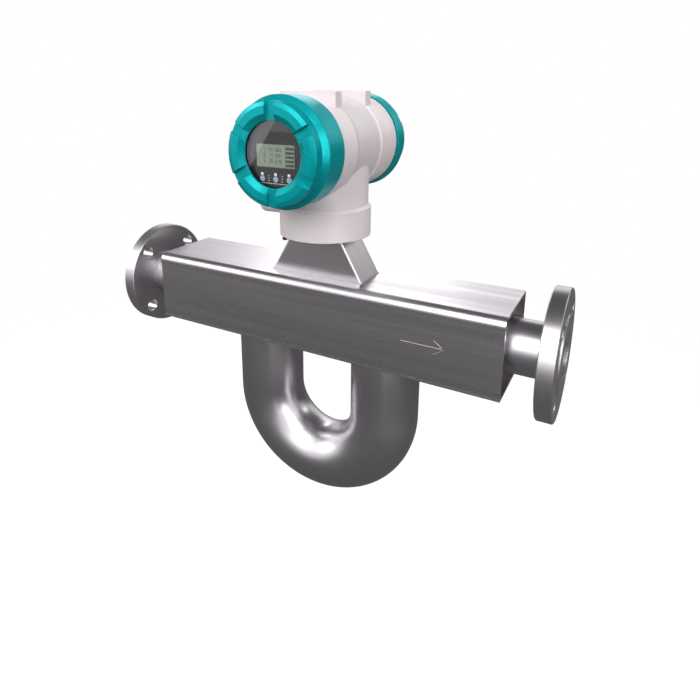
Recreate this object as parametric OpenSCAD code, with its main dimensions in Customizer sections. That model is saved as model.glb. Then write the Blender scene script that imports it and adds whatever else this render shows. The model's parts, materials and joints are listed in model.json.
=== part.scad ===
// Coriolis mass flow meter: twin bent measuring tubes in a welded steel casing, with a
// round field transmitter that swivels on the neck above them.
// Millimetres. +X runs downstream, +Z is up, and the origin is the middle of the inlet's raised face.

/* [Process connections] */
// Length over the raised faces of the two flanges
face_to_face = 615; // [600:1:700]
// Outside diameter of each flange
flange_d = 152.4; // [146:0.2:170]
// Thickness of each flange behind its raised face
flange_t = 18; // [15:0.5:24]
// Diameter of the raised face
raised_d = 92.1; // [84:0.1:98]
// Height of the raised face
raised_h = 1.6; // [1.6:0.2:5]
// Bolt circle of each flange
bolt_pcd = 120.7; // [114:0.1:126]
// Diameter of the bolt holes
bolt_hole_d = 19.1; // [14:0.1:20]
// Number of bolt holes
bolt_count = 4; // [4, 8]
// Bore of the inlet and the outlet
bore_d = 52.5; // [48:0.5:54]
// Outside diameter of the pipe between flange and casing
pipe_d = 65; // [63:0.5:72]
// Depth to which the pipe is let into the back of its flange
pipe_seat = 11; // [8:0.5:14]

/* [Casing] */
// Length of the box-shaped casing
casing_l = 502; // [490:2:520]
// Width of the casing, front to back
casing_w = 104; // [100:1:120]
// Height of the casing
casing_h = 97.5; // [94:0.5:110]
// Height of the casing's top above the pipe axis
casing_top = 49.5; // [47:0.5:54]
// Thickness of the folded casing sheets
sheet_t = 3; // [2:0.25:4]
// Outer radius of the folds in the casing sheets
fold_r = 10; // [6:0.5:14]
// Thickness of the casing's end plates
end_plate_t = 5; // [3:0.5:8]
// Depth of the end plates inside the ends of the folded sheets
end_recess = 14; // [8:1:18]
// Depth of the engraved flow arrow
arrow_depth = 0.4; // [0.2:0.1:0.8]
// Length of the flow arrow
arrow_l = 53; // [30:1:60]
// Distance from the casing's middle to the middle of the arrow
arrow_x = 158; // [120:1:200]

/* [U casing] */
// Distance between the two legs of the U casing
leg_pitch = 182; // [170:1:190]
// Depth of the bend's centre below the pipe axis
leg_drop = 137; // [125:1:160]
// Outside diameter of the U casing
u_d = 91; // [88:0.5:96]
// Wall of the U casing
u_t = 3; // [2:0.25:4]

/* [Measuring tubes] */
// Outside diameter of each measuring tube
tube_d = 25.4; // [22:0.2:26]
// Wall of each measuring tube
tube_t = 1.6; // [1:0.1:2.4]
// Distance between the axes of the two tubes
tube_pitch = 34; // [33:0.5:36]
// Bend radius where each tube turns down from its manifold
tube_bend = 40; // [34:1:44]
// Depth to which the tubes are let into the manifolds
tube_seat = 8; // [5:0.5:12]
// Thickness of the brace plates that join the two tubes
brace_t = 3; // [2:0.5:5]
// Depth of the pick-off coils below the pipe axis
pickoff_drop = 122; // [118:1:128]

/* [Neck] */
// Width of the neck shroud where it stands on the casing
neck_base_w = 134; // [124:1:140]
// Width of the neck shroud at its top
neck_top_w = 77.6; // [76:0.2:84]
// Depth of the neck shroud, front to back
neck_depth = 53; // [50:0.5:60]
// Height of the neck shroud
neck_h = 49.2; // [46:0.2:60]
// Outer radius of the neck shroud's folded edges
neck_edge_r = 3; // [2:0.5:6]
// Outside diameter of the spigot that carries the transmitter
spigot_d = 76; // [70:0.5:80]
// Bore of the spigot
spigot_bore = 60; // [52:0.5:64]
// Height of the spigot above its flange
spigot_h = 35.3; // [34.5:0.1:38]

/* [Transmitter] */
// Height of the barrel's axis above the pipe axis
barrel_z = 216.6; // [214:0.1:224]
// Outside diameter of the barrel between its collars
barrel_d = 120; // [110:0.5:134]
// Wall of the barrel
barrel_t = 6; // [5:0.25:7]
// Distance from the swivel axis to the front collar's face
front_reach = 66; // [64:0.5:72]
// Distance from the swivel axis to the rear collar's face
rear_reach = 86; // [84:0.5:92]
// Height of the front collar above the barrel
front_collar_step = 2; // [1:0.1:3]
// Height of the rear collar above the barrel
rear_collar_step = 1.5; // [1:0.1:3]
// Height of the rib beside the rear collar above the barrel
rib_step = 2.5; // [1:0.1:4]
// Width of the rib and of the two flat-topped pads
pad_l = 14.5; // [10:0.5:18]
// Width of the pads across the barrel
pad_w = 77; // [60:1:90]
// Height of the pads above the barrel
pad_h = 7; // [4:0.1:9]
// Wall of the foot outside its lock screw
foot_wall = 6.25; // [5.5:0.25:9]
// Step from the foot to the narrower neck above it
foot_step = 3.5; // [2:0.25:5]
// Height of the foot
foot_h = 36.6; // [34:0.2:42]
// Radius of the rounded ends of the cable entry block
entry_r = 17; // [15:0.5:20]
// Distance between the two cable entries
entry_pitch = 40; // [34:1:46]
// Distance from the swivel axis to the entry block's face
entry_reach = 83; // [78:0.5:92]
// Diameter of the threaded cable entries
entry_d = 20; // [16:0.5:22]

/* [Covers] */
// Wall of the covers at their back edge, outside the thread
lid_wall = 5.1; // [4.5:0.1:7]
// Flare of the skirt from the back edge to the shoulder
lid_flare = 0.9; // [0:0.1:3]
// How far the covers' flat face is smaller in radius than their back edge
lid_face_inset = 5.4; // [4:0.1:8]
// Length of the front cover, back edge to face
front_lid_l = 55.6; // [52:0.2:62]
// Length of the rear cover, back edge to face
rear_lid_l = 36.6; // [35:0.2:46]
// Length of the conical shoulder
shoulder_l = 20.2; // [18:0.2:24]
// Distance from the covers' rim to the window opening
window_inset = 21.2; // [20:0.2:26]
// Width of the six tool slots in each cover's face
slot_w = 12; // [8:0.5:16]
// Depth of the tool slots
slot_depth = 4.5; // [3:0.25:6]
// Depth of the covers' thread below the barrel's surface
thread_step = 1; // [0.5:0.1:1.5]
// Length of that thread
thread_l = 12; // [10:0.5:16]
// Thickness of the window glass
glass_t = 5.5; // [4:0.5:8]

/* [Display] */
// Width of the display's glass
lcd_w = 51; // [44:0.5:56]
// Height of the display's glass
lcd_h = 25.5; // [20:0.5:30]
// Distance between the optical keys
key_pitch = 18; // [16:0.5:20]
// Diameter of the optical keys
key_d = 7; // [5:0.5:9]

/* [Hidden] */
$fn = 96;

// Clearances
fit = 0.1;          // running and push fits, on the radius
gap = 0.3;          // between pieces that move past each other
eps = 1;            // how far a cutter runs past the face that it cuts

// Process connections
half_l = face_to_face / 2;
mid_x = half_l;
flange_edge = 1;                                  // chamfer on the flange's edges
seat_z = raised_h + flange_t - pipe_seat;         // raised face to the bottom of the pipe's seat
bolt_start = 180 / bolt_count;
manifold_reach = 6;                               // how far the manifold runs inside its end plate
plate_x1 = casing_l / 2 - end_recess;             // outer face of the end plates
manifold_x0 = plate_x1 - end_plate_t - manifold_reach;
manifold_x1 = half_l - seat_z;
split_x = manifold_x0 + 30;                       // where the bore divides in two

// Casing
casing_bottom = casing_top - casing_h;
leg_x = leg_pitch / 2;
arrow_head = arrow_l * 0.28;
arrow_line = 1.4;

// Measuring tubes
tube_y = tube_pitch / 2;
tube_bore = tube_d - 2 * tube_t;
brace_r = tube_d / 2 + 4;
board_w = neck_base_w * 0.567;
board_d = neck_depth * 0.717;
brace_drops = [pickoff_drop * 0.515, pickoff_drop * 0.678];
bracket_r = min(tube_d / 2 + 3.2, tube_y - 1);    // brackets on the two tubes stay 2 mm apart
bracket_t = 4;
arm_x = tube_d / 2 + 12;                          // tube axis to coil axis
coil_d = 17;
coil_bore = 9.6;
coil_l = 10;
magnet_d = 8;
arm_face = 11;                                    // mid-plane to the faces of the two arms
lead_d = 4;
lead_x = u_d / 2 - u_t - lead_d / 2 - 18;         // leg axis to the harness, inside the leg
lead_z = casing_top - sheet_t - 16;

// Neck
neck_z0 = casing_top;
neck_z1 = casing_top + neck_h;
neck_lean = atan((neck_base_w - neck_top_w) / 2 / neck_h);
spigot_flange_t = 4;
spigot_flange_r = spigot_d / 2 + 4;
spigot_z0 = neck_z1 + spigot_flange_t;
spigot_z1 = spigot_z0 + spigot_h;
oring_w = 2.6;
groove_z = spigot_z0 + 11.6;
groove_h = oring_w + 0.8;
feed_r = 18;
feed_flange_r = 22;
feed_z = casing_top + 4;
post_h = 12;
board_t = 1.6;

// Transmitter
thread_d = barrel_d - 2 * thread_step;            // thread that a cover screws onto
neck_corner_r = norm([neck_top_w / 2, neck_depth / 2]);
lock_r = neck_corner_r + 6.25;                    // swivel axis to the lock screw
foot_d = 2 * (lock_r + foot_wall);
neck_d = foot_d - 2 * foot_step;
foot_z0 = spigot_z0 + gap;
foot_z1 = foot_z0 + foot_h;
foot_edge = 3;
shoulder_z = foot_z0 + 27;                        // where the foot's bore opens into the neck
neck_inner_r = neck_d / 2 - barrel_t;
neck_roof_z = barrel_z - barrel_d / 2 - 0.5;
nut_r = 46;
nut_t = 5;
stop_pin_d = 3;
stop_pin_r = (nut_r + neck_inner_r) / 2;
cavity_r = barrel_d / 2 - barrel_t;
partition_y = 14;
partition_t = 6;
front_collar_y = 28;                              // back edge of the front collar
rib_y = 36;
collar_edge = 1.5;
entry_z = foot_z0 + foot_h + entry_r - 12.5;
entry_chamfer = 5;
entry_seat = 3;
lock_d = 7;
lock_angle = 210;
lock_head_z = foot_z0 - 10.8;
shoe_d = 5;
shoe_z = foot_z0 + 5.5;
earth_z = foot_z0 + foot_h / 2;
earth_y = foot_d / 2 + 3;
earth_r = 9;

// Covers, measured along the barrel from the swivel axis
lid_gap = 0.4;
front_lid_z0 = front_reach + lid_gap;
rear_lid_z0 = rear_reach + lid_gap;
front_face = front_lid_z0 + front_lid_l;
rear_face = rear_lid_z0 + rear_lid_l;
lid_thread_r = thread_d / 2 + gap;
lid_back_r = lid_thread_r - gap + lid_wall;
lid_r = lid_back_r + lid_flare;
lid_face_r = lid_back_r - lid_face_inset;
shoulder_h = shoulder_l * 0.31;                   // length of the cone between rim and ring
dome_h = slot_depth * 0.4;                        // drop of the ring's face at its outer margin
dome_w = dome_h * 3;
window_d = 2 * (lid_face_r - window_inset);
oring_seat_r = lid_thread_r + 2.85;
oring_seat_l = 3.1;
lid_oring_w = 2.4;
land_r = window_d / 2 + 7;                        // inner edge of the raised lands
lip_t = 1.8;
glass_r = window_d / 2 + 5.5;
gasket_t = 0.6;
glass_z1 = front_face - slot_depth - lip_t - gasket_t;
glass_z0 = glass_z1 - glass_t;
window_ring_t = 2.5;
window_ring_r = glass_r - 2.5;

// Display and electronics, measured along the barrel towards the front
face_r = window_ring_r - 0.7;
face_z1 = glass_z0 - 0.6;
face_t = 3;
case_r = face_r + 3.2;
holder_t = 3.3;
holder_z0 = front_reach + thread_l - holder_t - 0.5;
cassette_r = cavity_r - 2;
cassette_t = 2.5;
main_board_z = 50;
power_board_z = 20;
board_r = cassette_r - cassette_t - 0.5;
spacer_r = 3;
spacer_pcr = board_r - 8;
terminal_w = cavity_r * 1.26;
terminal_ys = [-cavity_r * 0.41, cavity_r * 0.11];
lcd_z = -face_r * 0.05;                           // height of the display's middle above the axis
lcd_t = 4;
key_drop = face_r * 0.704;
key_sink = 0.4;

steel = [0.62, 0.62, 0.64];
machined = [0.72, 0.72, 0.74];
paint = [0.82, 0.79, 0.79];
teal = [0.0, 0.58, 0.60];
black = [0.08, 0.08, 0.09];
rubber = [0.12, 0.12, 0.12];
board_green = [0.05, 0.35, 0.18];
copper = [0.72, 0.42, 0.22];
brass = [0.75, 0.62, 0.32];

// ---- Places ----

module at_middle() {
    translate([mid_x, 0, 0])
        children();
}

// side is 1 at the outlet and -1 at the inlet
module at_side(side) {
    at_middle()
        mirror([side < 0 ? 1 : 0, 0, 0])
            children();
}

// Local z runs along +X
module along_x() {
    rotate([0, 90, 0])
        children();
}

// Local z runs from the swivel axis towards the front of the barrel, local y is up
module facing_front() {
    translate([mid_x, 0, barrel_z])
        rotate([90, 0, 0])
            children();
}

// Local z runs from the swivel axis towards the back of the barrel
module facing_rear() {
    translate([mid_x, 0, barrel_z])
        rotate([-90, 0, 0])
            children();
}

module tube(d, bore, l) {
    difference() {
        cylinder(d = d, h = l);
        translate([0, 0, -eps])
            cylinder(d = bore, h = l + 2 * eps);
    }
}

module torus(r, d) {
    rotate_extrude()
        translate([r, 0])
            circle(d = d, $fn = 24);
}

// ---- Process connections ----

module flange(side) {
    t = raised_h + flange_t;
    c = flange_edge;
    color(machined)
        at_side(side)
            translate([half_l, 0, 0])
                rotate([0, -90, 0])
                    difference() {
                        rotate_extrude()
                            polygon([
                                [bore_d / 2, 0], [raised_d / 2 - c / 2, 0], [raised_d / 2, c / 2],
                                [raised_d / 2, raised_h], [flange_d / 2 - c, raised_h],
                                [flange_d / 2, raised_h + c], [flange_d / 2, t - c],
                                [flange_d / 2 - c, t], [pipe_d / 2, t], [pipe_d / 2, seat_z],
                                [bore_d / 2, seat_z]
                            ]);
                        for (i = [0 : bolt_count - 1])
                            rotate([0, 0, bolt_start + i * 360 / bolt_count])
                                translate([bolt_pcd / 2, 0, -eps])
                                    cylinder(d = bolt_hole_d, h = t + 2 * eps);
                    }
}

module manifold(side) {
    color(steel)
        at_side(side)
            difference() {
                translate([manifold_x0, 0, 0])
                    along_x()
                        cylinder(d = pipe_d, h = manifold_x1 - manifold_x0);
                translate([split_x, 0, 0])
                    along_x()
                        cylinder(d = bore_d, h = manifold_x1 - split_x + eps);
                for (y = [-tube_y, tube_y])
                    translate([manifold_x0, y, 0])
                        along_x() {
                            translate([0, 0, -eps])
                                cylinder(d = tube_d, h = tube_seat + eps);
                            cylinder(d = tube_bore, h = split_x - manifold_x0 + eps);
                        }
            }
}

// ---- Casing ----

// Cross-section of the casing in Y and Z, drawn in by inset. Two opposite long edges are folds,
// and the other two are welded corners.
module casing_outline(inset) {
    r = fold_r - inset;
    y0 = -casing_w / 2 + inset;
    y1 = casing_w / 2 - inset;
    z0 = casing_bottom + inset;
    z1 = casing_top - inset;
    difference() {
        translate([y0, z0])
            square([y1 - y0, z1 - z0]);
        translate([y0 - eps, z1 - r])
            square([r + eps, r + eps]);
        translate([y1 - r, z0 - eps])
            square([r + eps, r + eps]);
    }
    translate([y0 + r, z1 - r])
        circle(r = r);
    translate([y1 - r, z0 + r])
        circle(r = r);
}

// The part of the cross-section that belongs to the rear sheet: bottom, back and the fold between them
module rear_sheet_zone() {
    translate([-casing_w / 2 - eps, casing_bottom - eps])
        square([casing_w + 2 * eps, sheet_t + eps]);
    translate([casing_w / 2 - sheet_t, casing_bottom - eps])
        square([sheet_t + eps, casing_h - sheet_t + eps]);
    translate([casing_w / 2 - fold_r, casing_bottom - eps])
        square([fold_r + eps, fold_r + eps]);
}

module casing_extrude(l) {
    rotate([90, 0, 90])
        linear_extrude(l, center = true)
            children();
}

// An open arrow, pointing downstream, engraved in the front of the casing
module flow_arrow() {
    translate([arrow_x, -casing_w / 2 + arrow_depth, 0])
        rotate([90, 0, 0])
            linear_extrude(arrow_depth + eps)
                union() {
                    translate([-arrow_l / 2, -arrow_line / 2])
                        square([arrow_l, arrow_line]);
                    for (a = [144, -144])
                        translate([arrow_l / 2, 0])
                            rotate(a)
                                translate([0, -arrow_line / 2])
                                    square([arrow_head, arrow_line]);
                }
}

module casing_front_sheet() {
    color(steel)
        at_middle()
            difference() {
                casing_extrude(casing_l)
                    difference() {
                        casing_outline(0);
                        casing_outline(sheet_t);
                        rear_sheet_zone();
                    }
                translate([0, 0, casing_top - sheet_t - eps])
                    cylinder(r = feed_r + fit, h = sheet_t + 2 * eps);
                flow_arrow();
            }
}

module casing_rear_sheet() {
    color(steel)
        at_middle()
            difference() {
                casing_extrude(casing_l)
                    intersection() {
                        difference() {
                            casing_outline(0);
                            casing_outline(sheet_t);
                        }
                        rear_sheet_zone();
                    }
                for (x = [-leg_x, leg_x])
                    translate([x, 0, casing_bottom - eps])
                        cylinder(d = u_d - 2 * u_t, h = sheet_t + 2 * eps);
            }
}

module end_plate(side) {
    color(steel)
        at_side(side)
            difference() {
                translate([plate_x1 - end_plate_t / 2, 0, 0])
                    casing_extrude(end_plate_t)
                        casing_outline(sheet_t);
                translate([plate_x1 - end_plate_t - eps, 0, 0])
                    along_x()
                        cylinder(d = pipe_d, h = end_plate_t + 2 * eps);
            }
}

// Half of a U in the XZ plane, from the top of the leg at x = leg_x to the bottom of the bend
module u_run(d, top_z) {
    translate([leg_x, 0, -leg_drop])
        cylinder(d = d, h = leg_drop + top_z);
}

module u_turn(d) {
    translate([0, 0, -leg_drop])
        rotate([90, 0, 0])
            rotate_extrude(angle = 180, start = 180)
                translate([leg_x, 0])
                    circle(d = d);
}

module u_solid(d, top_z) {
    u_run(d, top_z);
    mirror([1, 0, 0])
        u_run(d, top_z);
    u_turn(d);
}

module u_casing() {
    color(steel)
        at_middle()
            difference() {
                u_solid(u_d, casing_bottom);
                u_solid(u_d - 2 * u_t, casing_bottom + eps);
            }
}

// ---- Measuring tubes ----

module tube_solid(d, extra) {
    u_solid(d, -tube_bend);
    for (m = [0, 1])
        mirror([m, 0, 0]) {
            translate([leg_x + tube_bend, 0, -tube_bend])
                rotate([90, 0, 0])
                    rotate_extrude(angle = 90, start = 90)
                        translate([tube_bend, 0])
                            circle(d = d);
            translate([leg_x + tube_bend, 0, 0])
                along_x()
                    cylinder(d = d, h = manifold_x0 + tube_seat + extra - leg_x - tube_bend);
        }
}

module measuring_tube(side) {
    color(steel)
        at_middle()
            translate([0, side * tube_y, 0])
                difference() {
                    tube_solid(tube_d, 0);
                    tube_solid(tube_bore, eps);
                }
}

// Plates that tie the two tubes together on each leg
module tube_braces() {
    color(machined)
        at_middle()
            for (x = [-leg_x, leg_x], drop = brace_drops)
                translate([x, 0, -drop])
                    linear_extrude(brace_t)
                        difference() {
                            union() {
                                for (y = [-tube_y, tube_y])
                                    translate([0, y])
                                        circle(r = brace_r);
                                translate([-brace_r, -tube_y])
                                    square([2 * brace_r, tube_pitch]);
                            }
                            for (y = [-tube_y, tube_y])
                                translate([0, y])
                                    circle(d = tube_d);
                        }
}

// ---- Drive and pick-offs: local z runs along the tubes, and the coil lies at -x ----

module at_driver() {
    at_middle()
        translate([0, 0, -leg_drop - leg_x])
            rotate([0, -90, 0])
                mirror([1, 0, 0])
                    children();
}

module at_pickoff(side) {
    at_side(side)
        translate([leg_x, 0, -pickoff_drop])
            children();
}

module at_each_coil() {
    at_driver()
        children();
    for (side = [-1, 1])
        at_pickoff(side)
            children();
}

// A collar brazed round one tube, with an arm whose face carries the coil or the magnet
module tube_bracket(side) {
    difference() {
        union() {
            translate([0, side * tube_y, -bracket_t / 2])
                cylinder(r = bracket_r, h = bracket_t);
            translate([-arm_x - 7, side * arm_face - (side < 0 ? 5 : 0), -bracket_t / 2])
                cube([arm_x, 5, bracket_t]);
            translate([-arm_x - 7, side * arm_face - (side < 0 ? 5 : 0), -6])
                cube([14, 5, 12]);
        }
        translate([0, side * tube_y, -6 - eps])
            cylinder(d = tube_d, h = 12 + 2 * eps);
    }
}

module coil_brackets() {
    color(machined)
        at_each_coil()
            tube_bracket(-1);
}

module magnet_brackets() {
    color(machined)
        at_each_coil()
            tube_bracket(1);
}

// A wound bobbin: two cheeks, the winding between them and a bore for the magnet
module coil() {
    cheek = 1.2;
    translate([-arm_x, -arm_face, 0])
        rotate([-90, 0, 0])
            rotate_extrude()
                polygon([
                    [coil_bore / 2, 0], [coil_d / 2, 0], [coil_d / 2, cheek],
                    [coil_d / 2 - 1, cheek], [coil_d / 2 - 1, coil_l - cheek],
                    [coil_d / 2, coil_l - cheek], [coil_d / 2, coil_l], [coil_bore / 2, coil_l]
                ]);
}

module magnet() {
    plate_t = 2.5;
    translate([-arm_x, arm_face, 0])
        rotate([90, 0, 0])
            rotate_extrude()
                polygon([
                    [0, 0], [coil_d / 2 - 1, 0], [coil_d / 2 - 1, plate_t], [magnet_d / 2, plate_t],
                    [magnet_d / 2, 2 * arm_face - 4], [0, 2 * arm_face - 4]
                ]);
}

module drive_coil() {
    color(copper)
        at_driver()
            coil();
}

module pickoff_coils() {
    color(copper)
        for (side = [-1, 1])
            at_pickoff(side)
                coil();
}

module drive_magnet() {
    color(machined)
        at_driver()
            magnet();
}

module pickoff_magnets() {
    color(machined)
        for (side = [-1, 1])
            at_pickoff(side)
                magnet();
}

// Platinum sensor in a clip against the rear tube's inlet leg
module temperature_sensor() {
    probe_d = 5;
    color(machined)
        at_middle()
            translate([-leg_x, tube_y, -pickoff_drop + 12])
                difference() {
                    union() {
                        translate([tube_d / 2 + probe_d / 2 + fit, 0, 0])
                            cylinder(d = probe_d, h = 20);
                        translate([0, 0, 8])
                            cylinder(d = tube_d + 2.4, h = 5);
                    }
                    translate([0, 0, -eps])
                        cylinder(d = tube_d, h = 20 + 2 * eps);
                }
}

// ---- Harness and feedthrough ----

module lead(l) {
    cylinder(d = lead_d, h = l, $fn = 24);
}

module lead_corner() {
    sphere(d = lead_d, $fn = 24);
}

// One lead from a pick-off up its leg and along the casing to the feedthrough
module pickoff_lead() {
    x = leg_x + lead_x;
    feed_x = feed_r - 6;
    translate([x, 0, -pickoff_drop])
        lead(pickoff_drop + lead_z);
    translate([x, 0, lead_z])
        lead_corner();
    translate([feed_x, 0, lead_z])
        along_x()
            lead(x - feed_x);
    translate([feed_x, 0, lead_z])
        lead_corner();
    translate([feed_x, 0, lead_z])
        lead(casing_top - sheet_t - 6 - lead_z);
}

module sensor_harness() {
    x = leg_x + lead_x;
    coil_x = coil_d / 2 + 4;
    color(rubber)
        at_middle() {
            for (m = [0, 1])
                mirror([m, 0, 0])
                    pickoff_lead();
            translate([x, 0, -leg_drop])
                lead(leg_drop - pickoff_drop);
            translate([0, 0, -leg_drop])
                rotate([90, 0, 0])
                    rotate_extrude(angle = 90 - asin(coil_x / x), start = 270 + asin(coil_x / x))
                        translate([x, 0])
                            circle(d = lead_d, $fn = 24);
            translate([coil_x, 0, -leg_drop - x * cos(asin(coil_x / x))])
                lead_corner();
            translate([coil_x, 0, -leg_drop - x * cos(asin(coil_x / x))])
                lead(x - leg_x + arm_x);
        }
}

// Glass-sealed header between the casing and the neck
module feedthrough() {
    color(machined)
        at_middle() {
            translate([0, 0, casing_top])
                cylinder(r = feed_flange_r, h = feed_z - casing_top);
            translate([0, 0, casing_top - sheet_t - 6])
                cylinder(r = feed_r, h = sheet_t + 6);
            for (i = [0 : 8])
                rotate([0, 0, i * 40])
                    translate([feed_r - 6, 0, feed_z - 1])
                        cylinder(d = 1.6, h = 6, $fn = 16);
        }
}

module board_posts() {
    color(brass)
        at_middle()
            for (x = [-1, 1], y = [-1, 1])
                translate([x * (board_w / 2 - 6), y * (board_d / 2 - 5), casing_top])
                    cylinder(d = 6, h = post_h, $fn = 24);
}

module sensor_board() {
    color(board_green)
        at_middle()
            translate([0, 0, casing_top + post_h])
                union() {
                    translate([-board_w / 2, -board_d / 2, 0])
                        cube([board_w, board_d, board_t]);
                    translate([-26, -10, board_t])
                        cube([18, 18, 2.4]);
                    translate([4, -8, board_t])
                        cube([12, 16, 3]);
                    translate([22, -12, board_t])
                        cube([10, 24, 8]);
                }
}

// ---- Neck ----

function neck_half(z) = neck_base_w / 2 - (z - neck_z0) * tan(neck_lean);

module neck_slab(za, zb, inset, depth) {
    side_inset = inset / cos(neck_lean);
    rotate([90, 0, 0])
        linear_extrude(depth, center = true)
            polygon([
                [-neck_half(za) + side_inset, za], [neck_half(za) - side_inset, za],
                [neck_half(zb) - side_inset, zb], [-neck_half(zb) + side_inset, zb]
            ]);
}

// A wedge-shaped sheet shroud with rounded folds up its four corners
module neck_shroud() {
    r = neck_edge_r;
    color(steel)
        at_middle()
            difference() {
                intersection() {
                    union() {
                        neck_slab(neck_z0, neck_z1, 0, neck_depth - 2 * r);
                        neck_slab(neck_z0, neck_z1, r, neck_depth);
                        for (sx = [0, 1], sy = [-1, 1])
                            mirror([sx, 0, 0])
                                translate([
                                    neck_half(neck_z0) - r / cos(neck_lean),
                                    sy * (neck_depth / 2 - r), neck_z0
                                ])
                                    rotate([0, -neck_lean, 0])
                                        translate([0, 0, -2 * r])
                                            cylinder(r = r, h = neck_h / cos(neck_lean) + 4 * r);
                    }
                    translate([-neck_base_w / 2, -neck_depth / 2, neck_z0])
                        cube([neck_base_w, neck_depth, neck_h]);
                }
                neck_slab(neck_z0 - eps, neck_z1 + eps, sheet_t, neck_depth - 2 * sheet_t);
            }
}

module neck_spigot() {
    r = spigot_d / 2;
    gr = r - oring_w - 0.2;
    color(machined)
        at_middle()
            rotate_extrude()
                polygon([
                    [spigot_bore / 2, neck_z1], [spigot_flange_r, neck_z1],
                    [spigot_flange_r, spigot_z0], [r, spigot_z0], [r, groove_z], [gr, groove_z],
                    [gr, groove_z + groove_h], [r, groove_z + groove_h], [r, spigot_z1 - 1],
                    [r - 1, spigot_z1], [spigot_bore / 2, spigot_z1]
                ]);
}

module spigot_oring() {
    color(rubber)
        at_middle()
            translate([0, 0, groove_z + groove_h / 2])
                torus(spigot_d / 2 - oring_w / 2 - 0.05, oring_w);
}

// Ring nut on top of the spigot, with a tab that meets the stop pin
module spigot_nut() {
    tab_w = 9;
    color(machined)
        at_middle()
            translate([0, 0, shoulder_z + gap])
                difference() {
                    union() {
                        cylinder(r = nut_r, h = nut_t);
                        intersection() {
                            cylinder(r = neck_inner_r - gap, h = nut_t);
                            translate([-tab_w / 2, 0, 0])
                                cube([tab_w, neck_inner_r, nut_t]);
                        }
                    }
                    translate([0, 0, -eps])
                        cylinder(d = spigot_d + 2 * fit, h = nut_t + 2 * eps);
                }
}

// ---- Transmitter housing ----

module barrel_outside() {
    r = barrel_d / 2;
    fr = r + front_collar_step;
    rr = r + rear_collar_step;
    rib_r = r + rib_step;
    c = collar_edge;
    front_end = front_reach + thread_l;
    rear_end = rear_reach + thread_l;
    rotate_extrude()
        polygon([
            [0, -rear_end], [thread_d / 2 - 1, -rear_end], [thread_d / 2, -rear_end + 1],
            [thread_d / 2, -rear_reach], [rr, -rear_reach], [rr, -rib_y - pad_l - c],
            [rib_r, -rib_y - pad_l], [rib_r, -rib_y - 2 * c], [r, -rib_y],
            [r, front_collar_y], [fr, front_collar_y + c], [fr, front_reach],
            [thread_d / 2, front_reach], [thread_d / 2, front_end - 1],
            [thread_d / 2 - 1, front_end], [0, front_end]
        ]);
}

// Flat-topped pad over the barrel; y is the pad's front face
module top_pad(y) {
    translate([-pad_w / 2, y, barrel_z + barrel_d / 4])
        cube([pad_w, pad_l, pad_h + barrel_d / 4]);
}

module entry_outline(r, z) {
    for (y = [-entry_pitch / 2, entry_pitch / 2])
        translate([y, z])
            circle(r = r);
    translate([-entry_pitch / 2, z - r])
        square([entry_pitch, 2 * r]);
}

// Cast block with rounded ends that carries both cable entries
module entry_block() {
    back = neck_d / 4;
    face = entry_reach - entry_chamfer;
    rotate([90, 0, -90])
        translate([0, 0, back])
            linear_extrude(face - back)
                mirror([1, 0])
                    entry_outline(entry_r, entry_z);
    for (y = [-entry_pitch / 2, entry_pitch / 2])
        translate([-face, y, entry_z])
            rotate([0, -90, 0])
                cylinder(r1 = entry_r, r2 = entry_r - entry_chamfer, h = entry_chamfer);
    rotate([90, 0, 0])
        linear_extrude(entry_pitch, center = true)
            polygon([
                [-face, entry_z - entry_r], [-entry_reach, entry_z - entry_r + entry_chamfer],
                [-entry_reach, entry_z + entry_r - entry_chamfer], [-face, entry_z + entry_r]
            ]);
}

module at_entries() {
    for (y = [-entry_pitch / 2, entry_pitch / 2])
        translate([-entry_reach, y, entry_z])
            along_x()
                children();
}

module at_lock() {
    rotate([0, 0, lock_angle])
        translate([lock_r, 0, 0])
            children();
}

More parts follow.
